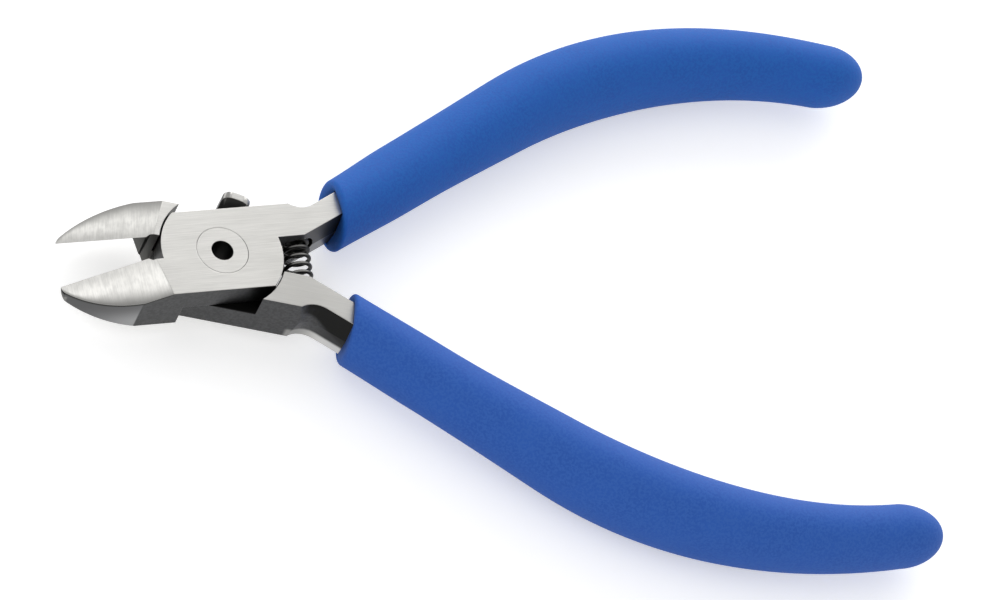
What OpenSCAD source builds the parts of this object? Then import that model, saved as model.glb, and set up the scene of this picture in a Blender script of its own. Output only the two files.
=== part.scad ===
// Small diagonal cutting nippers: two lapped steel halves on a hollow rivet, with a return spring
// held between the tangs and a moulded sleeve grip pushed over each tang.
// Frame: the pivot axis is Z, the laps meet at z = 0, +X runs to the handles, +Z leaves the ground face.
// The tool is drawn open. Each half is laid out as it lies when shut, then turned by half the opening.

/* [Head] */
// Thickness of the head and of the bare tangs
head_t = 6.7; // [5.6:0.1:8]
// Radius of the round laps
lap_r = 7.6; // [7.2:0.1:8]
// Distance from the pivot axis to the flat on the jaw side of a half
jaw_flat = 5.45; // [5:0.05:6]
// Distance from the pivot axis to the flat on the tang side of a half
tang_flat = 5.8; // [5.3:0.1:6.2]
// Gap between the two laps
lap_gap = 0.06; // [0.02:0.01:0.2]
// Gap between a lap and the round shoulders of the other half
shoulder_gap = 0.2; // [0.1:0.01:0.4]
// Angle between the halves when fully open, in degrees
open_angle = 18; // [12:0.5:22]

/* [Jaws] */
// Distance from the pivot axis to the tips
jaw_reach = 19.1; // [17:0.1:21]
// Radius of a rounded tip, seen from the front
tip_r = 1.6; // [1.2:0.1:2.6]
// Distance from the pivot axis to the crease where the flat ends and the outer curve starts
jaw_curve_x = 10.8; // [9.5:0.1:12]
// Angle between the flat and the outer curve at that crease, in degrees
crease_angle = 10; // [4:0.5:14]
// Distance from the pivot axis to where the ground face starts, beside the cutting edge
face_x = 8.6; // [8.4:0.1:10]
// Angle of the line where the ground face starts, off square to the cutting edge, in degrees
face_skew = 10; // [0:1:12]
// Steel left at the tips, behind the ground face
tip_t = 1.4; // [0.8:0.05:2]
// Distance from the pivot axis to the heel of the cutting edge
heel_x = 9.3; // [8.8:0.1:10]
// Distance from the pivot axis to where the bevel behind the cutting edge starts
bevel_x = 10.8; // [10.1:0.1:12]
// Angle between the bevel behind the cutting edge and the plane where the jaws meet, in degrees
bevel_angle = 38; // [25:1:45]
// Distance from that plane to the wall where the bevel ends
relief_w = 4; // [2:0.1:4.4]
// Distance that each jaw is cut back between its heel and the laps
throat_w = 0.4; // [0.2:0.05:0.8]
// Distance from each cutting edge to the middle when shut
edge_gap = 0.03; // [0.02:0.01:0.1]

/* [Pivot] */
// Radius of the rivet's shank
rivet_r = 2.4; // [2:0.05:2.8]
// Radius of the rivet's flush heads
rivet_head_r = 3.2; // [2.9:0.05:3.8]
// Radius of the hole through the rivet
rivet_bore_r = 1.35; // [0.8:0.05:1.6]
// Running clearance of the rivet in the front half
rivet_gap = 0.03; // [0.01:0.01:0.1]

/* [Stop] */
// Inner radius of the lug that limits the opening
stop_r = 7.9; // [7.75:0.05:8.6]
// Thickness of the lug
stop_t = 0.9; // [0.5:0.05:1.4]
// Width of the lug
stop_w = 3.4; // [2:0.1:4]
// Distance of the lug's end below the front face
stop_drop = 0.1; // [0.05:0.05:1.5]
// Corner radius of the lug's end
stop_corner_r = 1; // [0.2:0.05:1.2]
// Distance from the lug to the flat that it stops against
stop_gap = 0.12; // [0.05:0.01:0.3]

/* [Tangs] */
// Distance from the middle to the inner face that carries the spring
tang_in = 1.25; // [0.8:0.05:1.6]
// Width of a tang at half its thickness
tang_w = 3.6; // [3.3:0.05:3.9]
// Draft of a tang's sides, which leaves a ridge at half its thickness, in degrees
draft_angle = 6.5; // [3:0.5:8]
// Distance from the middle of the grip to the middle of the tang
tang_shift = 0.2; // [0:0.05:0.3]
// Radius of the hollow in the neck behind the head
neck_r = 2.5; // [2.2:0.1:3]
// Distance from the grip's mouth to where that hollow ends
neck_s = 3.1; // [2.8:0.1:3.6]
// Width of the core inside a grip
core_w = 3; // [2.4:0.1:3.4]
// Thickness of the core inside a grip
core_t = 5; // [4:0.1:5.4]
// Length of the core inside a grip
core_len = 64; // [40:1:68]

/* [Spring] */
// Distance from the pivot axis to the spring's pockets, along a half
pocket_x = 10.75; // [10.4:0.05:11]
// Depth of a pocket
pocket_depth = 2.5; // [1.5:0.1:3]
// Clearance round the spring in its pockets
pocket_gap = 0.35; // [0.3:0.05:0.5]
// Clearance between the spring's end and the bottom of its pocket
seat_gap = 0.05; // [0.02:0.01:0.2]
// Outer diameter of the spring
coil_d = 3.8; // [3:0.1:4]
// Diameter of its wire
wire_d = 0.5; // [0.3:0.05:0.6]
// Number of turns
coil_turns = 8; // [5:1:8]

/* [Grips] */
// Distance from the pivot axis to the grip's mouth
mouth_x = 16.45; // [16:0.05:17.5]
// Distance from the middle to the centre of the grip's mouth
mouth_y = 5.55; // [5.3:0.05:5.9]
// Angle between the first stretch of the grip and the middle, in degrees
grip_angle = 24.5; // [20:0.5:28]
// Length of the first, straight stretch
grip_straight = 29.3; // [20:0.1:36]
// Radius of the bend after it
grip_bend_r = 58.6; // [50:0.1:90]
// Length of a grip along its middle
grip_len = 78.9; // [74:0.1:88]
// Width of a grip at its mouth
mouth_w = 7.7; // [7.5:0.1:9]
// Thickness of a grip at its mouth
mouth_t = 9.4; // [9.2:0.1:10.5]
// Width of a grip at its waist
waist_w = 8.4; // [8:0.1:10]
// Width of a grip at its belly
belly_w = 9.5; // [8.6:0.05:12]
// Width of a grip at its tail
tail_w = 7.4; // [6.4:0.1:9]
// Thickness of a grip at its waist
waist_t = 8.8; // [8.4:0.1:10.5]
// Thickness of a grip at its belly
belly_t = 11.3; // [9:0.1:13]
// Thickness of a grip at its tail
tail_t = 8.7; // [6.4:0.1:10]
// Distance from the mouth to the waist
waist_s = 11; // [8:0.5:20]
// Distance from the mouth to the belly
belly_s = 39.5; // [30:0.5:50]
// Length of the rounded tail
cap_len = 5.5; // [2:0.1:6]
// Distance that the end of the tail lies outside the middle line
tail_shift = 0.5; // [0:0.1:1]
// Radius of the rim at the mouth
rim_r = 0.5; // [0.3:0.05:0.6]
// Angle of the mouth off square, in degrees
mouth_skew = 24; // [0:1:28]
// Distance that the mouth is set in towards the other grip
mouth_inset = 0.2; // [0:0.05:0.5]
// Length over which the grip's sections come square to its middle line
skew_len = 16; // [10:1:24]
// Depth to which the full tang goes into the grip
seat_len = 2.6; // [2:0.1:4]
// Clearance round the tang in the grip
sleeve_gap = 0.12; // [0.05:0.01:0.25]

/* [Hidden] */
$fn = 96;
// How far every cut runs past the face that it opens
overrun = 1;
steel = [0.76, 0.76, 0.75];
rivet_steel = [0.68, 0.68, 0.68];
spring_steel = [0.16, 0.16, 0.17];
grip_blue = [0.16, 0.36, 0.68];

half_t = head_t / 2;
half_open = open_angle / 2;
radian = 180 / PI;

// Outer curve of a jaw, from the crease to where it runs into the round of the tip
crease = [-jaw_curve_x, -jaw_flat];
tip_centre = [tip_r - jaw_reach, 0];
curve_inward = [sin(crease_angle), cos(crease_angle)];
crease_from_tip = crease - tip_centre;
jaw_curve_r =
    (tip_r * tip_r - crease_from_tip * crease_from_tip)
    / (crease_from_tip * curve_inward + tip_r) / 2;
curve_centre = crease + jaw_curve_r * curve_inward;
tip_from_curve = tip_centre - curve_centre;
join_angle = 360 + atan2(tip_from_curve[1], tip_from_curve[0]);
function arc(centre, radius, from, to, steps) = [
    for (i = [0 : steps])
        let (a = from + (to - from) * i / steps)
            centre + radius * [cos(a), sin(a)]
];

// Slope of the ground face along the cutting edge, from the front face down to the tips
face_drop = head_t - tip_t;
face_run = jaw_reach - face_x;
face_angle = atan(face_drop / face_run);
face_len = norm([face_drop, face_run]);
// Slope of the same face square to the line where it starts
face_fall_angle = atan(face_drop / face_run / cos(face_skew));

// Depth, square to the ground face, at which the bevel meets its wall
bevel_depth = relief_w / tan(bevel_angle);

// Middle line of a grip: a straight stretch, then a bend towards the other grip
mouth = [mouth_x, mouth_y];
function along(angle) = [cos(angle), sin(angle)];
function across(angle) = [-sin(angle), cos(angle)];
bend_centre = mouth + grip_straight * along(grip_angle) - grip_bend_r * across(grip_angle);
function heading(s) = grip_angle - max(0, s - grip_straight) / grip_bend_r * radian;
function middle(s) =
    s < grip_straight ? mouth + s * along(grip_angle) : bend_centre + grip_bend_r * across(heading(s));

// Point beside the middle line, u across it and z above it
function beside(s, u) = middle(s) + u * across(heading(s));
function section_point(s, u, z) = concat(beside(s, u), [z]);

// Edges of a tang, across the middle line
tang_out_u = tang_w / 2 - tang_shift;
tang_in_u = -tang_w / 2 - tang_shift;
neck_centre = beside(-neck_s, tang_out_u + neck_r);
// Distance from the mouth back to where the inner side of a tang meets the face with the spring
knee_s = (beside(0, tang_in_u)[1] - tang_in) / sin(grip_angle);
// Radius of the hollow in the neck, which widens with the draft above and below the ridge
function hollow_r(z) = neck_r + z * tan(draft_angle);

// Place of the spring: midway between mouth and bottom of the pockets of the opened halves
pocket_r = coil_d / 2 + pocket_gap;
pocket_bottom = tang_in + pocket_depth;
spring_x = pocket_x * cos(half_open) - (tang_in + pocket_bottom) / 2 * sin(half_open);
spring_half_len =
    (pocket_bottom + (spring_x - coil_d / 2) * sin(half_open)) / cos(half_open) - seat_gap;

// Direction of the stop lug in the shut rear half
stop_reach_angle = asin((tang_flat + stop_gap) / stop_r) + asin(stop_w / 2 / stop_r);
stop_angle = stop_reach_angle + open_angle;

// Outline of a jaw: the cut-back throat beside the laps, the cutting edge, the round tip, the outer
// curve and the flat
module jaw_outline() {
    tip_steps = 8;
    curve_steps = 16;
    tip_arc = arc(tip_centre, tip_r, 180 + asin(edge_gap / tip_r), join_angle, tip_steps);
    outer_arc = arc(curve_centre, jaw_curve_r, join_angle, 270 - crease_angle, curve_steps);
    polygon(concat(
        [[0, -jaw_flat], [0, -throat_w], [throat_w - heel_x, -throat_w], [-heel_x, -edge_gap]],
        tip_arc,
        [for (k = [1 : curve_steps]) outer_arc[k]]
    ));
}

// Turns a shape to the start of the ground face: x runs down it at an angle to the edge, z leaves it
module on_ground_face(skew, angle) {
    translate([-face_x, 0, half_t])
        rotate([0, angle, 180 + skew])
            children();
}

// Bevel and wall ground into the back of a cutting edge, from near its heel to past the tip
module bevel_cut() {
    bevel_run = (bevel_x - face_x) / cos(face_angle);
    on_ground_face(0, face_angle)
        translate([bevel_run, 0, 0])
            rotate([90, 0, 90])
                linear_extrude(face_len + head_t)
                    polygon([
                        [-overrun, 0],
                        [edge_gap, 0],
                        [edge_gap + relief_w, -bevel_depth],
                        [edge_gap + relief_w, -2 * head_t],
                        [-overrun, -2 * head_t]
                    ]);
}

// One jaw, with its sloping ground face and the cutting edge on the side of the other jaw
module jaw() {
    difference() {
        linear_extrude(head_t, center = true)
            jaw_outline();
        on_ground_face(face_skew, face_fall_angle)
            translate([-overrun, -jaw_reach, 0])
                cube([face_len + 2 * overrun, 2 * jaw_reach, head_t]);
        bevel_cut();
    }
}

// Round lap between the two flats
module lap(side) {
    lap_t = half_t - lap_gap / 2;
    translate([0, 0, side * (half_t + lap_gap / 2) / 2])
        linear_extrude(lap_t, center = true)
            intersection() {
                circle(lap_r);
                translate([-lap_r, -jaw_flat])
                    square([2 * lap_r, jaw_flat + tang_flat]);
            }
}

// Outline of a bare tang, from the pivot to just inside the grip, before its sides are drafted
module tang_outline() {
    end = seat_len - sleeve_gap;
    polygon([
        [0, tang_in],
        beside(-knee_s, tang_in_u),
        beside(end, tang_in_u - overrun),
        beside(end, tang_out_u + overrun),
        [neck_centre[0], tang_flat],
        [0, tang_flat]
    ]);
}

// Cuts that draft a tang's sides and the hollow in its neck, each from the ridge to one face
module draft_cuts() {
    cut_len = knee_s + tang_w + seat_len;
    for (out = [-1, 1], face = [-1, 1])
        translate(concat(beside(0, out > 0 ? tang_out_u : tang_in_u), [0]))
            rotate([0, 0, grip_angle])
                rotate([out * face * draft_angle, 0, 0])
                    translate([out > 0 ? -neck_s : seat_len - cut_len, out > 0 ? 0 : -tang_w, -head_t])
                        cube([cut_len, tang_w, 2 * head_t]);
    for (face = [0, 180])
        translate(concat(neck_centre, [0]))
            rotate([face, 0, 0])
                translate([0, 0, -overrun])
                    cylinder(
                        h = half_t + 2 * overrun,
                        r1 = hollow_r(-overrun),
                        r2 = hollow_r(half_t + overrun)
                    );
}

// Bent core that carries the grip
module core_outline() {
    steps = 24;
    shares = [for (i = [0 : steps]) i / steps];
    polygon(concat(
        [for (share = shares) beside(share * core_len, -core_w / 2 - tang_shift)],
        [for (share = shares) beside((1 - share) * core_len, core_w / 2 - tang_shift)]
    ));
}

module tang() {
    difference() {
        linear_extrude(head_t, center = true)
            tang_outline();
        draft_cuts();
    }
    linear_extrude(core_t, center = true)
        core_outline();
}

// Clearance for the round lap of the other half
module lap_room(side) {
    translate([0, 0, side * (lap_gap / 2 - half_t)])
        cylinder(h = head_t, r = lap_r + shoulder_gap, center = true);
}

module spring_pocket() {
    translate([pocket_x, pocket_bottom, 0])
        rotate([90, 0, 0])
            cylinder(h = pocket_depth + overrun, r = pocket_r);
}

// Rivet, or with a gap the hole for it: a shank with a flush countersunk head at each end
module rivet_shape(gap, past) {
    head_depth = rivet_head_r - rivet_r;
    cylinder(h = head_t + 2 * past, r = rivet_r + gap, center = true);
    for (face = [0, 180])
        rotate([face, 0, 0])
            translate([0, 0, half_t - head_depth])
                cylinder(h = head_depth, r1 = rivet_r + gap, r2 = rivet_head_r + gap);
}

// One steel half as it lies when shut, jaw below and tang above, its lap on the given side
module half(side) {
    difference() {
        union() {
            difference() {
                union() {
                    jaw();
                    tang();
                }
                lap_room(side);
            }
            lap(side);
        }
        spring_pocket();
    }
}

// Round-ended plate of the stop lug, x out from the pivot
module stop_plate() {
    plate_h = head_t - stop_drop;
    translate([0, 0, -half_t])
        rotate([90, 0, 90])
            linear_extrude(stop_r + stop_t + overrun)
                union() {
                    translate([-stop_w / 2, 0])
                        square([stop_w, plate_h - stop_corner_r]);
                    translate([stop_corner_r - stop_w / 2, 0])
                        square([stop_w - 2 * stop_corner_r, plate_h]);
                    for (end = [-1, 1])
                        translate([end * (stop_w / 2 - stop_corner_r), plate_h - stop_corner_r])
                            circle(stop_corner_r);
                }
}

// Lug on the rear lap: it rises outside the front lap and meets its flat when the tool is open
module stop_lug() {
    rotate([0, 0, -stop_angle])
        intersection() {
            stop_plate();
            difference() {
                cylinder(h = head_t, r = stop_r + stop_t, center = true);
                translate([0, 0, -lap_gap / 2])
                    cylinder(h = head_t, r = stop_r);
                cylinder(h = head_t + overrun, r = rivet_head_r + stop_t, center = true);
            }
        }
}

// Solid through a list of rings that have equal counts of points, closed by a fan at each end
function ring_centre(ring) = [for (axis = [0 : 2]) sum([for (p = ring) p[axis]]) / len(ring)];
function sum(list) = list * [for (item = list) 1];

module loft(rings) {
    sides = len(rings[0]);
    last = (len(rings) - 1) * sides;
    first_centre = len(rings) * sides;
    last_centre = first_centre + 1;
    polyhedron(
        points = concat(
            [for (ring = rings) each ring],
            [ring_centre(rings[0]), ring_centre(rings[len(rings) - 1])]
        ),
        faces = [
            for (k = [0 : sides - 1])
                let (next = (k + 1) % sides)
                    each concat(
                        [[first_centre, next, k], [last_centre, last + k, last + next]],
                        [
                            for (i = [0 : sides : last - sides])
                                each [
                                    [i + k, i + next, i + k + sides],
                                    [i + next, i + next + sides, i + k + sides]
                                ]
                        ]
                    )
        ]
    );
}

// Size of a grip along its middle line, eased between mouth, waist, belly and tail
function ease(from, to, share) = from + (to - from) * (1 - cos(180 * share)) / 2;
function grip_size(s, sizes) =
    s < waist_s ? ease(sizes[0], sizes[1], s / waist_s)
    : s < belly_s ? ease(sizes[1], sizes[2], (s - waist_s) / (belly_s - waist_s))
    : ease(sizes[2], sizes[3], (s - belly_s) / (grip_len - belly_s));
function grip_w(s) = grip_size(s, [mouth_w, waist_w, belly_w, tail_w]);
function grip_t(s) = grip_size(s, [mouth_t, waist_t, belly_t, tail_t]);

grip_sides = 24;
ring_angles = [for (k = [0 : grip_sides - 1]) 360 * k / grip_sides];

// Point of a grip's section, which lies skew to the middle line near the mouth
function skew_share(s) = max(0, 1 - s / skew_len);
function skew_point(s, u, z) =
    section_point(s + u * tan(mouth_skew) * skew_share(s), u, z);

// Oval ring of a grip's outside, its centre a little off the middle line
function oval(s, width, thickness, shift = 0) = [
    for (t = ring_angles)
        skew_point(s, width / 2 * cos(t) + shift - mouth_inset * skew_share(s), thickness / 2 * sin(t))
];

// Ring of the socket in a grip: a rectangle with its corners on the diagonals, its sides drawn in by a draft
function socket(s, width, thickness, draft) = [
    for (t = ring_angles)
        let (
            reach = max(abs(cos(t)), abs(sin(t))),
            z = thickness / 2 * sin(t) / reach,
            u = (width / 2 - abs(z) * tan(draft)) * cos(t) / reach
        )
            skew_point(s, u - tang_shift, z)
];

// Rings of a grip: round tail, body, rounded rim, then back inside along the socket
function grip_rings() =
    let (
        cap_steps = 8,
        body_steps = 22,
        rim_steps = 4,
        core_steps = 14,
        body_end = grip_len - cap_len,
        bare_w = tang_w + 2 * sleeve_gap,
        bare_t = head_t + 2 * sleeve_gap,
        socket_w = core_w + 2 * sleeve_gap,
        socket_t = core_t + 2 * sleeve_gap,
        socket_start = seat_len + (head_t - core_t) / 2,
        socket_end = core_len + sleeve_gap
    )
    concat(
        [
            for (i = [1 : cap_steps])
                let (a = 90 * i / cap_steps, s = body_end + cap_len * cos(a))
                    oval(s, grip_w(s) * sin(a), grip_t(s) * sin(a), tail_shift * cos(a))
        ],
        [
            for (i = [1 : body_steps])
                let (s = body_end + (rim_r - body_end) * i / body_steps)
                    oval(s, grip_w(s), grip_t(s))
        ],
        [
            for (i = [1 : rim_steps])
                let (a = 90 * i / rim_steps, inset = 2 * rim_r * (1 - cos(a)))
                    oval(rim_r * (1 - sin(a)), grip_w(rim_r) - inset, grip_t(rim_r) - inset)
        ],
        [for (s = [0, seat_len]) socket(s, bare_w, bare_t, draft_angle)],
        [
            for (i = [0 : core_steps])
                let (s = socket_start + (socket_end - socket_start) * i / core_steps)
                    socket(s, socket_w, socket_t, 0)
        ]
    );

// Compression spring between the pockets, one unbroken wire wound about an axis along y
rings_per_turn = 8;
wire_sides = 6;
coil_r = (coil_d - wire_d) / 2;
coil_rise = 2 * spring_half_len - wire_d;
coil_pitch = coil_rise / coil_turns;
coil_steps = coil_turns * rings_per_turn;
lead_angle = atan(coil_pitch / (2 * PI * coil_r));

function coil_point(i, r, lift) =
    let (t = 360 * i / rings_per_turn)
        [
            spring_x + r * sin(t) - lift * sin(lead_angle) * cos(t),
            coil_rise * (i / coil_steps) - coil_rise / 2 + lift * cos(lead_angle),
            r * cos(t) + lift * sin(lead_angle) * sin(t)
        ];
function wire_ring(i) = [
    for (k = [0 : wire_sides - 1])
        let (a = 360 * k / wire_sides)
            coil_point(i, coil_r + wire_d / 2 * cos(a), wire_d / 2 * sin(a))
];

// Least gap of the wire to itself, between points at least half a turn apart
wire_middle = [for (i = [0 : coil_steps]) coil_point(i, coil_r, 0)];
least_gap = min([
    for (i = [0 : coil_steps], j = [i + rings_per_turn / 2 : 1 : coil_steps])
        norm(wire_middle[i] - wire_middle[j]) - wire_d
]);
echo(least_spring_gap = least_gap);

module front_half() {
    color(steel)
        rotate([0, 0, half_open])
            difference() {
                half(1);
                rivet_shape(rivet_gap, overrun);
            }
}

module rear_half() {
    color(steel)
        rotate([0, 0, -half_open])
            mirror([0, 1, 0])
                difference() {
                    union() {
                        half(-1);
                        stop_lug();
                    }
                    rivet_shape(0, overrun);
                }
}

module pivot_rivet() {
    color(rivet_steel)
        difference() {
            rivet_shape(0, 0);
            cylinder(h = head_t + 2 * overrun, r = rivet_bore_r, center = true);
        }
}

module return_spring() {
    color(spring_steel)
        loft([for (i = [0 : coil_steps]) wire_ring(i)]);
}

module front_grip() {
    color(grip_blue)
        rotate([0, 0, half_open])
            loft(grip_rings());
}

module rear_grip() {
    color(grip_blue)
        rotate([0, 0, -half_open])
            mirror([0, 1, 0])
                loft(grip_rings());
}

front_half();
rear_half();
pivot_rivet();
return_spring();
front_grip();
rear_grip();
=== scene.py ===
import math

import bpy
from mathutils import Matrix, Vector


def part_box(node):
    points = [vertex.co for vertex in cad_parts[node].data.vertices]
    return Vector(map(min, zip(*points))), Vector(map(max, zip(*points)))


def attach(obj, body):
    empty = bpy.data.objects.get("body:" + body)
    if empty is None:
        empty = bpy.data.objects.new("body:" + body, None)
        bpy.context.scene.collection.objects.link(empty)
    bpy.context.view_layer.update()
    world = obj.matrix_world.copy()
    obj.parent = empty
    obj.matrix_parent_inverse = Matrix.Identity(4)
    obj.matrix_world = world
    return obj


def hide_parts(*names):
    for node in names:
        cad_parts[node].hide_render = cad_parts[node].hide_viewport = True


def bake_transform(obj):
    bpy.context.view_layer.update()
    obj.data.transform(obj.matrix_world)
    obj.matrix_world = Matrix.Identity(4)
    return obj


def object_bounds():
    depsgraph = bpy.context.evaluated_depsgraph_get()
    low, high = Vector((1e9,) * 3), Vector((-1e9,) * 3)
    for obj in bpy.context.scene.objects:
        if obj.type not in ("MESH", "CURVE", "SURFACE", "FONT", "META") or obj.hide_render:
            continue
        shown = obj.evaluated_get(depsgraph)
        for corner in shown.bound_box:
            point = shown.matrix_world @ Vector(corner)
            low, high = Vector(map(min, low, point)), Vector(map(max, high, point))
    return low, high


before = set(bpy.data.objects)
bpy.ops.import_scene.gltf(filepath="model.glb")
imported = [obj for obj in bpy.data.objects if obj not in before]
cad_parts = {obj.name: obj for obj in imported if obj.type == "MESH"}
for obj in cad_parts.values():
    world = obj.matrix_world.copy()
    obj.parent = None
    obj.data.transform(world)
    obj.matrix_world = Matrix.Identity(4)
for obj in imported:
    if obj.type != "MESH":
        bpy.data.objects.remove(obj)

CAD_LOW, CAD_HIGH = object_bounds()
SCENE = bpy.context.scene
MM = 0.001

# Sizes that the new pieces and the materials share with the solids, in mm and degrees
HALF_OPEN = 9.0
HEAD_T = 6.7
JAW_FLAT, JAW_REACH, TIP_R, JAW_CURVE_X, CREASE = 5.45, 19.1, 1.6, 10.8, 10.0
FACE_X, FACE_SKEW, TIP_T = 8.6, 10.0, 1.4
TANG_W, TANG_SHIFT, DRAFT = 3.6, 0.2, 6.5
CORE_W, CORE_T, CORE_LEN = 3.0, 5.0, 64.0
MOUTH_X, MOUTH_Y, GRIP_ANGLE = 16.45, 5.55, 24.5
GRIP_STRAIGHT, GRIP_BEND_R, GRIP_LEN = 29.3, 58.6, 78.9
MOUTH_W, WAIST_W, BELLY_W, TAIL_W = 7.7, 8.4, 9.5, 7.4
MOUTH_T, WAIST_T, BELLY_T, TAIL_T = 9.4, 8.8, 11.3, 8.7
WAIST_S, BELLY_S, CAP_LEN, TAIL_SHIFT, RIM_R = 11.0, 39.5, 5.5, 0.5, 0.5
MOUTH_SKEW, MOUTH_INSET, SKEW_LEN = 24.0, 0.2, 16.0
SEAT_LEN, SLEEVE_GAP = 2.6, 0.12
COIL_D, WIRE_D, COIL_TURNS = 3.8, 0.5, 8

# Depth of the ring that keeps the edge between a sleeve's rim and its socket crisp, in mm
RIM_CREASE = 0.06


# Meshes

def new_piece(name, points, faces, material):
    """A smooth mesh piece from points in mm."""
    mesh = bpy.data.meshes.new(name)
    mesh.from_pydata([Vector(p) * MM for p in points], [], faces)
    mesh.validate()
    mesh.polygons.foreach_set("use_smooth", [True] * len(mesh.polygons))
    mesh.materials.append(material)
    piece = bpy.data.objects.new(name, mesh)
    SCENE.collection.objects.link(piece)
    return piece


def loft(rings):
    """Points and faces of a solid through rings of equal counts, closed by a fan at each end."""
    sides = len(rings[0])
    points = [p for ring in rings for p in ring]
    faces = []
    for i in range(len(rings) - 1):
        for k in range(sides):
            after = (k + 1) % sides
            a, b = i * sides, (i + 1) * sides
            faces.append((a + k, a + after, b + after, b + k))
    for end, turn in ((0, -1), (len(rings) - 1, 1)):
        middle = len(points)
        points.append(sum((Vector(p) for p in rings[end]), Vector()) / sides)
        for k in range(sides):
            a, b = end * sides + k, end * sides + (k + 1) % sides
            faces.append((middle, a, b) if turn > 0 else (middle, b, a))
    return points, faces


def ease(low, high, share):
    """Value between low and high that starts and ends level."""
    return low + (high - low) * (1 - math.cos(math.pi * share)) / 2


def grip_size(s, mouth, waist, belly, tail):
    """A grip's width or thickness at s from its mouth."""
    if s < WAIST_S:
        return ease(mouth, waist, s / WAIST_S)
    if s < BELLY_S:
        return ease(waist, belly, (s - WAIST_S) / (BELLY_S - WAIST_S))
    return ease(belly, tail, (s - BELLY_S) / (GRIP_LEN - BELLY_S))


def grip_w(s):
    return grip_size(s, MOUTH_W, WAIST_W, BELLY_W, TAIL_W)


def grip_t(s):
    return grip_size(s, MOUTH_T, WAIST_T, BELLY_T, TAIL_T)


def beside(s, u):
    """Point u beside the middle line of a grip of the shut tool, s from its mouth."""
    first = math.radians(GRIP_ANGLE)
    heading = first - max(0.0, s - GRIP_STRAIGHT) / GRIP_BEND_R
    if s < GRIP_STRAIGHT:
        middle = Vector((MOUTH_X + s * math.cos(first), MOUTH_Y + s * math.sin(first)))
    else:
        middle = Vector((
            MOUTH_X + GRIP_STRAIGHT * math.cos(first)
            + GRIP_BEND_R * (math.sin(first) - math.sin(heading)),
            MOUTH_Y + GRIP_STRAIGHT * math.sin(first)
            + GRIP_BEND_R * (math.cos(heading) - math.cos(first)),
        ))
    return middle + u * Vector((-math.sin(heading), math.cos(heading)))


def skew_share(s):
    """Share of the mouth's skew that is left at s from the mouth."""
    return max(0.0, 1 - s / SKEW_LEN)


def skew_point(s, u, z):
    """Point of a grip's section, which leans near the mouth."""
    x, y = beside(s + u * math.tan(math.radians(MOUTH_SKEW)) * skew_share(s), u)
    return Vector((x, y, z))


def oval(s, width, thickness, angles, shift=0.0):
    """Ring of a grip's outside."""
    shift -= MOUTH_INSET * skew_share(s)
    return [
        skew_point(s, width / 2 * math.cos(t) + shift, thickness / 2 * math.sin(t)) for t in angles
    ]


def socket(s, width, thickness, draft, angles):
    """Ring of the hole in a grip, with the tang's box section."""
    ring = []
    for t in angles:
        reach = max(abs(math.cos(t)), abs(math.sin(t)))
        z = thickness / 2 * math.sin(t) / reach
        u = (width / 2 - abs(z) * math.tan(math.radians(draft))) * math.cos(t) / reach
        ring.append(skew_point(s, u - TANG_SHIFT, z))
    return ring


def grip_rings(sides=72, cap_steps=18, body_steps=110, rim_steps=10, core_steps=24):
    """Rings of a grip: round tail, body, rounded rim, then back inside along the socket."""
    angles = [2 * math.pi * k / sides for k in range(sides)]
    body_end = GRIP_LEN - CAP_LEN
    rings = []
    for i in range(1, cap_steps + 1):
        a = math.pi / 2 * i / cap_steps
        s = body_end + CAP_LEN * math.cos(a)
        rings.append(oval(
            s, grip_w(s) * math.sin(a), grip_t(s) * math.sin(a), angles, TAIL_SHIFT * math.cos(a)
        ))
    for i in range(1, body_steps + 1):
        s = body_end + (RIM_R - body_end) * i / body_steps
        rings.append(oval(s, grip_w(s), grip_t(s), angles))
    for i in range(1, rim_steps + 1):
        a = math.pi / 2 * i / rim_steps
        inset = 2 * RIM_R * (1 - math.cos(a))
        s = RIM_R * (1 - math.sin(a))
        rings.append(oval(s, grip_w(RIM_R) - inset, grip_t(RIM_R) - inset, angles))
    bare_w, bare_t = TANG_W + 2 * SLEEVE_GAP, HEAD_T + 2 * SLEEVE_GAP
    for s in (0.0, RIM_CREASE, SEAT_LEN / 2, SEAT_LEN):
        rings.append(socket(s, bare_w, bare_t, DRAFT, angles))
    start = SEAT_LEN + (HEAD_T - CORE_T) / 2
    end = CORE_LEN + SLEEVE_GAP
    for i in range(core_steps + 1):
        s = start + (end - start) * i / core_steps
        rings.append(socket(s, CORE_W + 2 * SLEEVE_GAP, CORE_T + 2 * SLEEVE_GAP, 0.0, angles))
    return rings


def add_grip(node, body, side, material):
    """A sleeve in place of its solid. Side is 1 for the front half and -1 for the rear half."""
    turn = Matrix.Rotation(math.radians(side * HALF_OPEN), 3, "Z")
    flip = Matrix.Diagonal((1, side, 1))
    rings = [[turn @ (flip @ p) for p in ring] for ring in grip_rings()]
    if side > 0:
        rings = [list(reversed(ring)) for ring in rings]
    points, faces = loft(rings)
    piece = new_piece(node + "_sleeve", points, faces, material)
    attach(piece, body)
    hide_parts(node)


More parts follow.
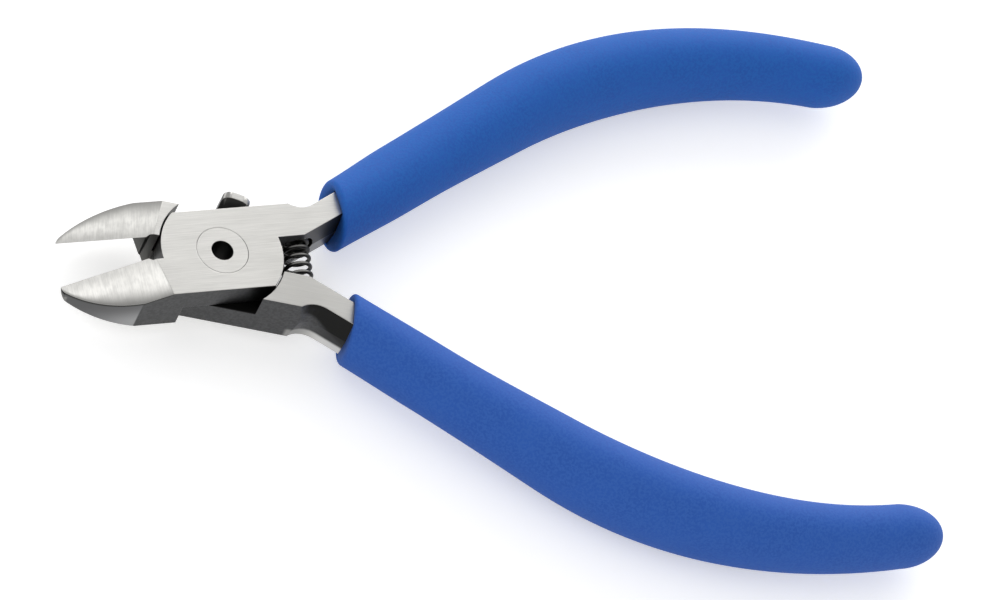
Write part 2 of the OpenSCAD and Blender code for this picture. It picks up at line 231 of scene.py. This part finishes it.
def add_spring(material, rings_per_turn=40, wire_sides=14):
    """The return spring's coil, finer than its solid, on the solid's own axis and ends."""
    low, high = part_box("return_spring")
    middle_x = (low.x + high.x) / 2 / MM
    coil_r = (COIL_D - WIRE_D) / 2
    rise = (high.y - low.y) / MM - WIRE_D
    lead = math.atan(rise / COIL_TURNS / (2 * math.pi * coil_r))
    steps = COIL_TURNS * rings_per_turn
    rings = []
    for i in range(steps + 1):
        t = 2 * math.pi * i / rings_per_turn
        ring = []
        for k in range(wire_sides):
            a = 2 * math.pi * k / wire_sides
            r = coil_r + WIRE_D / 2 * math.cos(a)
            lift = WIRE_D / 2 * math.sin(a)
            ring.append(Vector((
                middle_x + r * math.sin(t) - lift * math.sin(lead) * math.cos(t),
                rise * (i / steps - 0.5) + lift * math.cos(lead),
                r * math.cos(t) + lift * math.sin(lead) * math.sin(t),
            )))
        rings.append(ring)
    points, faces = loft([list(reversed(ring)) for ring in rings])
    piece = new_piece("return_spring_coil", points, faces, material)
    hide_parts("return_spring")
    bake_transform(piece)


# Materials

class Nodes:
    """Short calls for building a material's node tree."""

    def __init__(self, name):
        self.material = bpy.data.materials.new(name)
        self.material.use_nodes = True
        self.tree = self.material.node_tree
        self.shader = self.tree.nodes["Principled BSDF"]

    def add(self, kind, **values):
        node = self.tree.nodes.new(kind)
        for key, value in values.items():
            setattr(node, key, value)
        return node

    def feed(self, socket, value):
        if isinstance(value, bpy.types.NodeSocket):
            self.tree.links.new(value, socket)
        else:
            socket.default_value = value

    def shade(self, name, value):
        """Set or link one of the shader's own sockets."""
        self.feed(self.shader.inputs[name], value)

    def math(self, operation, a, b=0.0):
        node = self.add("ShaderNodeMath", operation=operation)
        self.feed(node.inputs[0], a)
        self.feed(node.inputs[1], b)
        return node.outputs[0]

    def both(self, a, b):
        """Share of a point that lies in two zones at once."""
        return self.math("MULTIPLY", a, b)

    def ramp(self, value, low, high, at_low=0.0, at_high=1.0):
        node = self.add("ShaderNodeMapRange", interpolation_type="SMOOTHSTEP")
        for socket, item in zip(node.inputs, (value, low, high, at_low, at_high)):
            self.feed(socket, item)
        return node.outputs[0]

    def mix(self, share, a, b):
        node = self.add("ShaderNodeMix", data_type="RGBA")
        self.feed(node.inputs[0], share)
        self.feed(node.inputs[6], a)
        self.feed(node.inputs[7], b)
        return node.outputs[2]

    def blend(self, share, a, b):
        node = self.add("ShaderNodeMix", data_type="FLOAT")
        self.feed(node.inputs[0], share)
        self.feed(node.inputs[2], a)
        self.feed(node.inputs[3], b)
        return node.outputs[0]

    def mapping(self, vector, turn=0.0, scale=(1, 1, 1)):
        node = self.add("ShaderNodeMapping")
        self.feed(node.inputs["Vector"], vector)
        node.inputs["Rotation"].default_value = (0, 0, math.radians(turn))
        node.inputs["Scale"].default_value = scale
        return node.outputs[0]

    def noise(self, vector, scale=1.0, detail=3.0, rough=0.55):
        node = self.add("ShaderNodeTexNoise")
        self.feed(node.inputs["Vector"], vector)
        node.inputs["Scale"].default_value = scale
        node.inputs["Detail"].default_value = detail
        node.inputs["Roughness"].default_value = rough
        return node.outputs["Fac"]

    def bump(self, height, strength, depth):
        """Bump from a height, with its depth in mm."""
        node = self.add("ShaderNodeBump")
        node.inputs["Strength"].default_value = strength
        node.inputs["Distance"].default_value = depth * MM
        self.feed(node.inputs["Height"], height)
        self.shade("Normal", node.outputs[0])

    def line(self, vector, weights, offset=0.0):
        """Weighted sum of a vector's parts, plus an offset."""
        node = self.add("ShaderNodeVectorMath", operation="DOT_PRODUCT")
        self.feed(node.inputs[0], vector)
        node.inputs[1].default_value = weights
        return self.math("ADD", node.outputs["Value"], offset)

    def reach(self, vector, centre):
        """Distance from a centre in the x-y plane."""
        flat = self.add("ShaderNodeVectorMath", operation="MULTIPLY")
        self.feed(flat.inputs[0], vector)
        flat.inputs[1].default_value = (1, 1, 0)
        node = self.add("ShaderNodeVectorMath", operation="DISTANCE")
        self.feed(node.inputs[0], flat.outputs[0])
        node.inputs[1].default_value = (*centre, 0)
        return node.outputs["Value"]

    def split(self, vector):
        node = self.add("ShaderNodeSeparateXYZ")
        self.feed(node.inputs[0], vector)
        return node.outputs


# Tints are a grey's blue over its red: warm below 1, cool above 1
WARM, NEUTRAL, COOL, CURVE_TINT = 0.95, 1.0, 1.03, 1.02

# Greys of the steel, from dark to light where there are two
FLAT_GREYS = (0.54, 0.66)
# Painted shade that darkens the flats towards the tang
TANG_SHADE_GREY = 0.36
JAW_SWING = 0.12
# Painted dark reflections on the sides; a painted reflection on the jaw's curve, darker at its tip; a
# painted shade line below the jaw face's edge; painted light in the throat
SIDE_REFLECTION_GREYS = (0.06, 0.085)
CURVE_REFLECTION_GREYS = (0.14, 0.34)
CURVE_TIP_REFLECTION_GREY = 0.1
RIM_SHADE_GREY = 0.04
THROAT_LIGHT_GREY = 0.13
# Painted light and shade on the tang's sides: shade near the sleeve's mouth, a bright strip of
# reflection, dark reflections, and light on the lower draft
TANG_END_SHADE_GREY = 0.035
STRIP_REFLECTION_GREYS = (0.3, 0.66)
DARK_REFLECTION_GREY = 0.014
LOWER_DRAFT_LIGHT_GREY = 0.2
# Painted shade on the lug's side
LUG_SHADE_GREY = 0.08
# Painted shade in recesses: on the faces where the halves meet and in the rivet's bore
RECESS_SHADE_GREY = 0.02

# Stretch of the steel's noises along x, y and z, per mm
LONG_LINES = (0.2, 9, 9)
CROSS_LINES = (8, 0.3, 2.6)
BROAD = (0.14, 0.42, 0.42)
BLOTCH = (1.5, 0.8, 0.8)
LINE_DETAIL, LINE_ROUGH = 5.0, 0.65
GRAIN_SCALE, GRAIN_DETAIL = 3.2, 4.0

# Parts of a noise over which a tone or a gloss goes from its low to its high value
LINE_PART, NOISE_PART = (0.25, 0.75), (0.3, 0.7)

# Roughness and bump of the steel, with the depth in mm
FLAT_ROUGH, JAW_ROUGH, SIDE_ROUGH = (0.3, 0.4), (0.28, 0.4), 0.4
STEEL_BUMP, STEEL_DEPTH = 0.12, 0.03

# Parts of a face's normal over which a zone fades in
SIDE_NZ = (0.6, 0.3)
GROUND_NX, GROUND_NZ = (-0.2, -0.35), (0.6, 0.8)
CURVE_NX = (-0.05, -0.12)
THROAT_NY = (0.2, 0.4)
OUTSIDE_NY, INSIDE_NY = (0.3, 0.5), (0.0, -0.2)
UPPER_DRAFT_NZ, LOWER_DRAFT_NZ = (0.04, 0.09), (-0.04, -0.09)
LUG_NY = (0.3, 0.6)

# Places over which a zone fades in, in mm in the shut half's own layout
TANG_SHADE_X = (-4.0, 7.0)
JAW_TIP_X, JAW_MIDDLE_X, JAW_ROOT_X = -18.5, -12.0, -9.0
EDGE_Y = (-0.1, -2.2)
CURVE_X, CURVE_TIP_X = (-9.0, -9.4), (-JAW_CURVE_X, -18.5)
CURVE_DEPTH, RIM_DEPTH = (0.4, 4.0), (0.45, 0.15)
RIM_X, THROAT_X = (-7.5, -8.5), (-5.0, -6.5)
LUG_Y = (-5.9, -6.2)
# The painted shade on the faces where the two halves meet
MATING_SHADE_Z, MATING_SHADE_X = (0.6, 0.3), (-8.8, -8.4)

# Parts of the jaw's dark band of painted shade, from the outer curve inwards, over which its face grows
# light
OUTER_FADE = (-0.1, 1.0)

# Places along the tang, measured from the sleeve's mouth, and heights on it, in mm, for the painted
# reflections and shade on its sides
OUTSIDE_S, DULL_S = (-6.4, -5.9), (-7.0, -6.0)
DARK_REFLECTION_S, DARK_REFLECTION_FADE = (-5.6, -4.9), (-0.4, 0.4)
DARK_REFLECTION_SLOPE, DARK_REFLECTION_RISE = 0.52, 0.95
TANG_END_S, STRIP_S, STRIP_Z = (-4.5, -1.0), (-5.5, -2.0), (-1.6, -2.2)


def grey(value, tint=WARM):
    return (value, value * (3 + tint) / 4, value * tint, 1)


def grey_mix(n, share, greys, tint=WARM):
    return n.mix(share, grey(greys[0], tint), grey(greys[1], tint))


def jaw_curve():
    """Centre and radius of a jaw's outer curve, which runs from the crease into the round tip."""
    crease = Vector((-JAW_CURVE_X, -JAW_FLAT))
    inward = Vector((math.sin(math.radians(CREASE)), math.cos(math.radians(CREASE))))
    from_tip = crease - Vector((TIP_R - JAW_REACH, 0))
    radius = (TIP_R ** 2 - from_tip.length_squared) / (from_tip.dot(inward) + TIP_R) / 2
    return crease + radius * inward, radius


class Spot:
    """Where a point of a half lies, in mm in the shut half's own layout, and how its face leans.

    The jaw is at -y and the tang at +y. Side is 1 for the front half and -1 for the rear half.
    """

    def __init__(self, n, side):
        coord = n.add("ShaderNodeTexCoord")
        turned = n.mapping(coord.outputs["Object"], -side * HALF_OPEN)
        normal = n.mapping(n.mapping(coord.outputs["Normal"], -side * HALF_OPEN), 0, (1, side, 1))
        self.place = n.mapping(turned, 0, (1 / MM, side / MM, 1 / MM))
        self.x, self.y, self.z = n.split(self.place)
        self.nx, self.ny, self.nz = n.split(normal)
        self.height = n.math("ABSOLUTE", self.z)
        self.side_face = n.ramp(n.math("ABSOLUTE", self.nz), *SIDE_NZ)
        self.ground_face = n.both(n.ramp(self.nx, *GROUND_NX), n.ramp(self.nz, *GROUND_NZ))
        angle = math.radians(GRIP_ANGLE)
        self.along = n.line(
            self.place, (math.cos(angle), math.sin(angle), 0),
            -MOUTH_X * math.cos(angle) - MOUTH_Y * math.sin(angle),
        )
        slope = (HEAD_T - TIP_T) / (JAW_REACH - FACE_X)
        self.below_jaw_face = n.line(
            self.place, (slope, slope * math.tan(math.radians(FACE_SKEW)), -1),
            HEAD_T / 2 + slope * FACE_X,
        )
        self.lug = n.both(n.ramp(self.y, *LUG_Y), n.ramp(self.ny, *LUG_NY))


def flat_tone(n, spot, lines, painted_tang_shade):
    """Brushed flats, with painted shade that darkens them towards the tang by a share."""
    tone = grey_mix(n, n.ramp(lines, *LINE_PART), FLAT_GREYS)
    return n.mix(n.ramp(spot.x, *TANG_SHADE_X, 0.0, painted_tang_shade), tone, grey(TANG_SHADE_GREY))


def jaw_tone(n, spot, lines, jaw_grey, edge_light, outer_grey, shade_widths):
    """Ground jaw face: blotched, with painted shade that dims it at the cutting edge and darkens it in a
    band along the outer curve.

    The dark band's widths are given at the tip, the middle and the root of the jaw.
    """
    tip_width, middle_width, root_width = shade_widths
    shade_width = n.math(
        "ADD", n.ramp(spot.x, JAW_TIP_X, JAW_MIDDLE_X, tip_width, middle_width),
        n.ramp(spot.x, JAW_MIDDLE_X, JAW_ROOT_X, 0.0, root_width - middle_width),
    )
    centre, radius = jaw_curve()
    inward = n.math("SUBTRACT", radius, n.reach(spot.place, centre))
    inward = n.math("DIVIDE", inward, shade_width)
    # Painted shade: dimmer at the cutting edge and dark along the outer curve
    light = n.both(n.ramp(inward, *OUTER_FADE), n.ramp(spot.y, *EDGE_Y, edge_light, 1.0))
    blotch = n.noise(n.mapping(spot.place, 0, BLOTCH), detail=2.0)
    share = n.ramp(n.blend(0.5, lines, blotch), *NOISE_PART)
    tone = grey_mix(n, share, (jaw_grey - JAW_SWING, jaw_grey + JAW_SWING))
    return n.mix(light, grey(outer_grey), tone)


def side_tone(n, spot, grain):
    """Forged sides of the head and the jaw, painted dark for the dark surroundings they reflect, with a
    painted reflection on the jaw's curve, a painted shade line along its rim and painted light in the
    throat.
    """
    tone = grey_mix(n, n.ramp(grain, *NOISE_PART), SIDE_REFLECTION_GREYS, COOL)
    curve_reflection = grey_mix(n, n.ramp(spot.below_jaw_face, *CURVE_DEPTH), CURVE_REFLECTION_GREYS, CURVE_TINT)
    curve_reflection = n.mix(n.ramp(spot.x, *CURVE_TIP_X), curve_reflection, grey(CURVE_TIP_REFLECTION_GREY, CURVE_TINT))
    curve = n.both(n.ramp(spot.nx, *CURVE_NX), n.ramp(spot.x, *CURVE_X))
    tone = n.mix(curve, tone, curve_reflection)
    rim = n.both(n.ramp(spot.below_jaw_face, *RIM_DEPTH), n.ramp(spot.x, *RIM_X))
    tone = n.mix(rim, tone, grey(RIM_SHADE_GREY))
    throat = n.both(n.ramp(spot.ny, *THROAT_NY), n.ramp(spot.x, *THROAT_X))
    return n.mix(throat, tone, grey(THROAT_LIGHT_GREY))


def tang_tone(n, spot, tone):
    """Sides of the tang over the other sides: outside, a painted dark reflection, a painted bright strip
    of reflection and painted shade near the mouth; inside, a painted dark reflection on the upper draft
    and painted light on the lower.
    """
    outside = n.both(n.ramp(spot.along, *OUTSIDE_S), n.ramp(spot.ny, *OUTSIDE_NY))
    above = n.math("ADD", spot.z, n.math("MULTIPLY", spot.along, DARK_REFLECTION_SLOPE))
    above = n.math("ADD", above, DARK_REFLECTION_RISE)
    dark_reflection = n.both(n.ramp(above, *DARK_REFLECTION_FADE), n.ramp(spot.along, *DARK_REFLECTION_S))
    outer = n.mix(n.ramp(spot.along, *TANG_END_S), tone, grey(TANG_END_SHADE_GREY, COOL))
    strip = grey_mix(n, n.ramp(spot.along, *STRIP_S), STRIP_REFLECTION_GREYS)
    outer = n.mix(n.ramp(spot.z, *STRIP_Z), outer, strip)
    outer = n.mix(dark_reflection, outer, grey(DARK_REFLECTION_GREY))
    inner = n.mix(n.ramp(spot.nz, *UPPER_DRAFT_NZ), tone, grey(DARK_REFLECTION_GREY))
    inner = n.mix(n.ramp(spot.nz, *LOWER_DRAFT_NZ), inner, grey(LOWER_DRAFT_LIGHT_GREY))
    return n.mix(outside, inner, outer)


def dull_share(n, spot):
    """Side faces that don't shine: the lug's and the inner draft of the tang."""
    draft = n.both(n.ramp(spot.nz, *UPPER_DRAFT_NZ), n.ramp(spot.along, *DULL_S))
    draft = n.both(draft, n.ramp(spot.ny, *INSIDE_NY))
    return n.both(spot.side_face, n.math("MAXIMUM", spot.lug, draft))


def steel(name, side, painted_tang_shade, **jaw):
    """Satin steel: brushed along the head, ground across the jaws, painted with dark reflections on the
    forged sides and with shade and light in places.
    """
    n = Nodes(name)
    spot = Spot(n, side)
    long_lines = n.noise(n.mapping(spot.place, 0, LONG_LINES), 1.0, LINE_DETAIL, LINE_ROUGH)
    cross_lines = n.noise(n.mapping(spot.place, 0, CROSS_LINES), 1.0, LINE_DETAIL, LINE_ROUGH)
    grain = n.noise(spot.place, GRAIN_SCALE, GRAIN_DETAIL)
    broad = n.noise(n.mapping(spot.place, 0, BROAD), detail=2.0)

    jaw_face = jaw_tone(n, spot, cross_lines, **jaw)
    tone = n.mix(spot.ground_face, flat_tone(n, spot, long_lines, painted_tang_shade), jaw_face)
    # Painted shade on the faces where the two halves meet
    mating_shade = n.both(n.ramp(spot.height, *MATING_SHADE_Z), n.ramp(spot.x, *MATING_SHADE_X))
    tone = n.mix(mating_shade, tone, grey(RECESS_SHADE_GREY))
    sides = tang_tone(n, spot, side_tone(n, spot, grain))
    # Painted shade on the lug's side
    sides = n.mix(spot.lug, sides, grey(LUG_SHADE_GREY))
    n.shade("Base Color", n.mix(spot.side_face, tone, sides))

    flat_rough = n.ramp(broad, *NOISE_PART, *FLAT_ROUGH)
    rough = n.blend(spot.ground_face, flat_rough, n.ramp(broad, *NOISE_PART, *JAW_ROUGH))
    n.shade("Roughness", n.blend(spot.side_face, rough, SIDE_ROUGH))
    n.shade("Metallic", n.blend(dull_share(n, spot), 1.0, 0.0))
    lines = n.blend(spot.ground_face, long_lines, cross_lines)
    n.bump(n.blend(spot.side_face, lines, grain), STEEL_BUMP, STEEL_DEPTH)
    return n.material


# Normals over which the painted shade in the rivet's bore fades in
RIVET_BORE_SHADE_NZ = (0.7, 0.3)


def rivet_steel(name):
    """The flats' brushed steel on the heads, with painted shade in the bore."""
    n = Nodes(name)
    coord = n.add("ShaderNodeTexCoord")
    place = n.mapping(n.mapping(coord.outputs["Object"], -HALF_OPEN), 0, (1 / MM, 1 / MM, 1 / MM))
    nz = n.split(coord.outputs["Normal"])[2]
    bore = n.ramp(n.math("ABSOLUTE", nz), *RIVET_BORE_SHADE_NZ)
    lines = n.noise(n.mapping(place, 0, LONG_LINES), 1.0, LINE_DETAIL, LINE_ROUGH)
    tone = grey_mix(n, n.ramp(lines, *LINE_PART), FLAT_GREYS)
    n.shade("Base Color", n.mix(bore, tone, grey(RECESS_SHADE_GREY)))
    n.shade("Roughness", n.ramp(lines, *NOISE_PART, *FLAT_ROUGH))
    n.shade("Metallic", 1.0)
    n.bump(lines, STEEL_BUMP, STEEL_DEPTH)
    return n.material


WIRE_SPOTS_PER_M, WIRE_SPOT_PART = 1800, (0.35, 0.7)
# Greys of the wire, and a painted highlight along its top with the normals over which it fades in
WIRE_GREYS, TOP_HIGHLIGHT_GREY, TOP_HIGHLIGHT_NZ = (0.016, 0.03), 0.24, (0.6, 0.98)
WIRE_ROUGH, WIRE_METAL, WIRE_BUMP, WIRE_DEPTH = (0.26, 0.42), 0.9, 0.15, 0.03


def spring_wire(name):
    """Dark spring wire, with a painted highlight along its top."""
    n = Nodes(name)
    coord = n.add("ShaderNodeTexCoord")
    spots = n.noise(coord.outputs["Object"], WIRE_SPOTS_PER_M, detail=4.0)
    tone = grey_mix(n, n.ramp(spots, *WIRE_SPOT_PART), WIRE_GREYS)
    top_highlight = n.ramp(n.split(coord.outputs["Normal"])[2], *TOP_HIGHLIGHT_NZ)
    n.shade("Base Color", n.mix(top_highlight, tone, grey(TOP_HIGHLIGHT_GREY)))
    n.shade("Roughness", n.ramp(spots, *NOISE_PART, *WIRE_ROUGH))
    n.shade("Metallic", WIRE_METAL)
    n.bump(spots, WIRE_BUMP, WIRE_DEPTH)
    return n.material


# Green and blue of the vinyl: dark and light mottling, and the painted glints of its skin
DARK_BLUE, LIGHT_BLUE, GLINT_BLUE = (0.09, 0.445), (0.1, 0.48), (0.119, 0.492)
LIGHT_RED = 0.002
MOTTLE_PER_M, SKIN_PER_M, GLINT_PART = 220, 3200, (0.4, 0.6)
VINYL_ROUGH, VINYL_SPECULAR, SKIN_BUMP, SKIN_DEPTH = (0.68, 0.78), 0.5, 0.7, 0.06


def vinyl(name, red, glint):
    """Soft blue vinyl with a fine skin painted with light specks as glints, and faint mottling.

    Red is the least red of its blue, and glint is how much the painted glints add to it.
    """
    n = Nodes(name)
    place = n.add("ShaderNodeTexCoord").outputs["Object"]
    mottle = n.noise(place, MOTTLE_PER_M)
    skin = n.noise(place, SKIN_PER_M)
    tone = n.mix(n.ramp(mottle, *NOISE_PART), (red, *DARK_BLUE, 1), (red + LIGHT_RED, *LIGHT_BLUE, 1))
    # Painted glints of the skin
    tone = n.mix(n.ramp(skin, *GLINT_PART), tone, (red + glint, *GLINT_BLUE, 1))
    n.shade("Base Color", tone)
    n.shade("Roughness", n.ramp(skin, *NOISE_PART, *VINYL_ROUGH))
    n.shade("Specular IOR Level", VINYL_SPECULAR)
    n.bump(skin, SKIN_BUMP, SKIN_DEPTH)
    return n.material


# Edge rounds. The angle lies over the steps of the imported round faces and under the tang's draft ridge
WELD_REACH, FLAT_ANGLE, EDGE_ANGLE, EDGE_SEGMENTS = 0.002, 0.2, 12.2, 2
HALF_EDGE_R, RIVET_EDGE_R = 0.07, 0.05


def round_edges(piece, width):
    """Small machined edge rounds on a solid, made by modifiers alone."""
    weld = piece.modifiers.new("weld", "WELD")
    weld.merge_threshold = WELD_REACH * MM
    flat = piece.modifiers.new("flat", "DECIMATE")
    flat.decimate_type = "DISSOLVE"
    flat.angle_limit = math.radians(FLAT_ANGLE)
    bevel = piece.modifiers.new("bevel", "BEVEL")
    bevel.width = width * MM
    bevel.segments = EDGE_SEGMENTS
    bevel.limit_method = "ANGLE"
    bevel.angle_limit = math.radians(EDGE_ANGLE)
    bevel.use_clamp_overlap = False
    normals = piece.modifiers.new("normals", "WEIGHTED_NORMAL")
    normals.weight = 100
    normals.mode = "FACE_AREA"


def dress(node, material, width):
    """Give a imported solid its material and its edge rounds."""
    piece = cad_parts[node]
    piece.data.materials.clear()
    piece.data.materials.append(material)
    round_edges(piece, width)


# Camera, floor and light, in metres and watts

TO_CAMERA = Vector((-0.2878, -0.5249, 0.8010))
RIGHT = Vector((0.9560, -0.1088, 0.2722))
UP = Vector((-0.0558, 0.8442, 0.5331))
CAMERA_DISTANCE = 1.046
PICTURE_WIDTH = 0.11905
PICTURE_CENTRE = RIGHT * 0.03395 - UP * 0.00412
SENSOR = 36.0
CLIP_START, CLIP_END = 0.05, 20.0

WORLD_STRENGTH = 0.68
FLOOR_HALF = 3.0
FLOOR_GREYS, FLOOR_ROUGH, FLOOR_GRAIN_PER_M, FLOOR_GLOW = (0.88, 0.9), 0.9, 300, 0.42
MIDDLE = Vector((0.035, 0.0, 0.0))
LAMPS = {
    "key": {"place": (0.45, 0.85, 0.34), "size": 1.1, "power": 6.0},
    "fill": {"place": (-0.75, 0.1, 0.65), "size": 0.9, "power": 1.2},
    "back": {"place": (-0.37, 0.75, 0.55), "size": 0.8, "power": 0.5},
}


def add_camera():
    data = bpy.data.cameras.new("camera")
    data.sensor_width = SENSOR
    data.lens = SENSOR * CAMERA_DISTANCE / PICTURE_WIDTH
    data.clip_start = CLIP_START
    data.clip_end = CLIP_END
    camera = bpy.data.objects.new("camera", data)
    place = TO_CAMERA * CAMERA_DISTANCE
    back = (place - PICTURE_CENTRE).normalized()
    right = UP.cross(back).normalized()
    axes = Matrix((right, back.cross(right), back)).transposed().to_4x4()
    camera.matrix_world = Matrix.Translation(place) @ axes
    SCENE.collection.objects.link(camera)
    SCENE.camera = camera


def add_world():
    world = bpy.data.worlds.new("studio")
    SCENE.world = world
    world.use_nodes = True
    background = world.node_tree.nodes["Background"]
    background.inputs["Color"].default_value = (1, 1, 1, 1)
    background.inputs["Strength"].default_value = WORLD_STRENGTH


def white_share(n):
    """1 for rays that look at the background: from the camera, and by reflection or refraction."""
    path = n.add("ShaderNodeLightPath")
    total = path.outputs["Is Camera Ray"]
    for name in ("Is Glossy Ray", "Is Transmission Ray"):
        total = n.math("MAXIMUM", total, path.outputs[name])
    return total


def add_floor():
    level = CAD_LOW.z
    corners = ((-1, -1), (1, -1), (1, 1), (-1, 1))
    mesh = bpy.data.meshes.new("floor")
    mesh.from_pydata([(x * FLOOR_HALF, y * FLOOR_HALF, level) for x, y in corners], [], [(0, 1, 2, 3)])
    floor = bpy.data.objects.new("floor", mesh)
    SCENE.collection.objects.link(floor)
    n = Nodes("floor")
    grain = n.noise(n.add("ShaderNodeTexCoord").outputs["Object"], FLOOR_GRAIN_PER_M)
    n.shade("Base Color", grey_mix(n, grain, FLOOR_GREYS, NEUTRAL))
    n.shade("Roughness", FLOOR_ROUGH)
    n.shade("Specular IOR Level", 0.0)
    n.shade("Emission Color", (1, 1, 1, 1))
    n.shade("Emission Strength", n.math("MULTIPLY", white_share(n), FLOOR_GLOW))
    mesh.materials.append(n.material)


def add_lamp(name, place, size, power):
    data = bpy.data.lights.new(name, "AREA")
    data.shape = "DISK"
    data.size = size
    data.energy = power
    lamp = bpy.data.objects.new(name, data)
    lamp.location = place
    lamp.rotation_euler = (MIDDLE - Vector(place)).to_track_quat("-Z", "Y").to_euler()
    SCENE.collection.objects.link(lamp)


add_camera()
add_world()
add_floor()
for lamp_name, lamp_values in LAMPS.items():
    add_lamp(lamp_name, **lamp_values)

# The photo shows the two jaws and the two sleeves in slightly different tones. These are painted light:
# lit and shaded copies of one steel and of one vinyl, and the rear tang's flats get more painted shade.
FRONT_STEEL = steel(
    "steel_front", 1, painted_tang_shade=0.1,
    jaw_grey=0.85, edge_light=0.7, outer_grey=0.2, shade_widths=(0.35, 2.5, 2.0),
)
REAR_STEEL = steel(
    "steel_rear", -1, painted_tang_shade=0.6,
    jaw_grey=0.79, edge_light=0.52, outer_grey=0.28, shade_widths=(0.5, 2.3, 3.4),
)
dress("front_half", FRONT_STEEL, HALF_EDGE_R)
dress("rear_half", REAR_STEEL, HALF_EDGE_R)
dress("pivot_rivet", rivet_steel("rivet_steel"), RIVET_EDGE_R)
add_grip("front_grip", "front", 1, vinyl("blue_vinyl_front", red=0.0, glint=0.005))
add_grip("rear_grip", "rear", -1, vinyl("blue_vinyl_rear", red=0.008, glint=0.014))
add_spring(spring_wire("spring_wire"))

SCENE.view_settings.view_transform = "Standard"
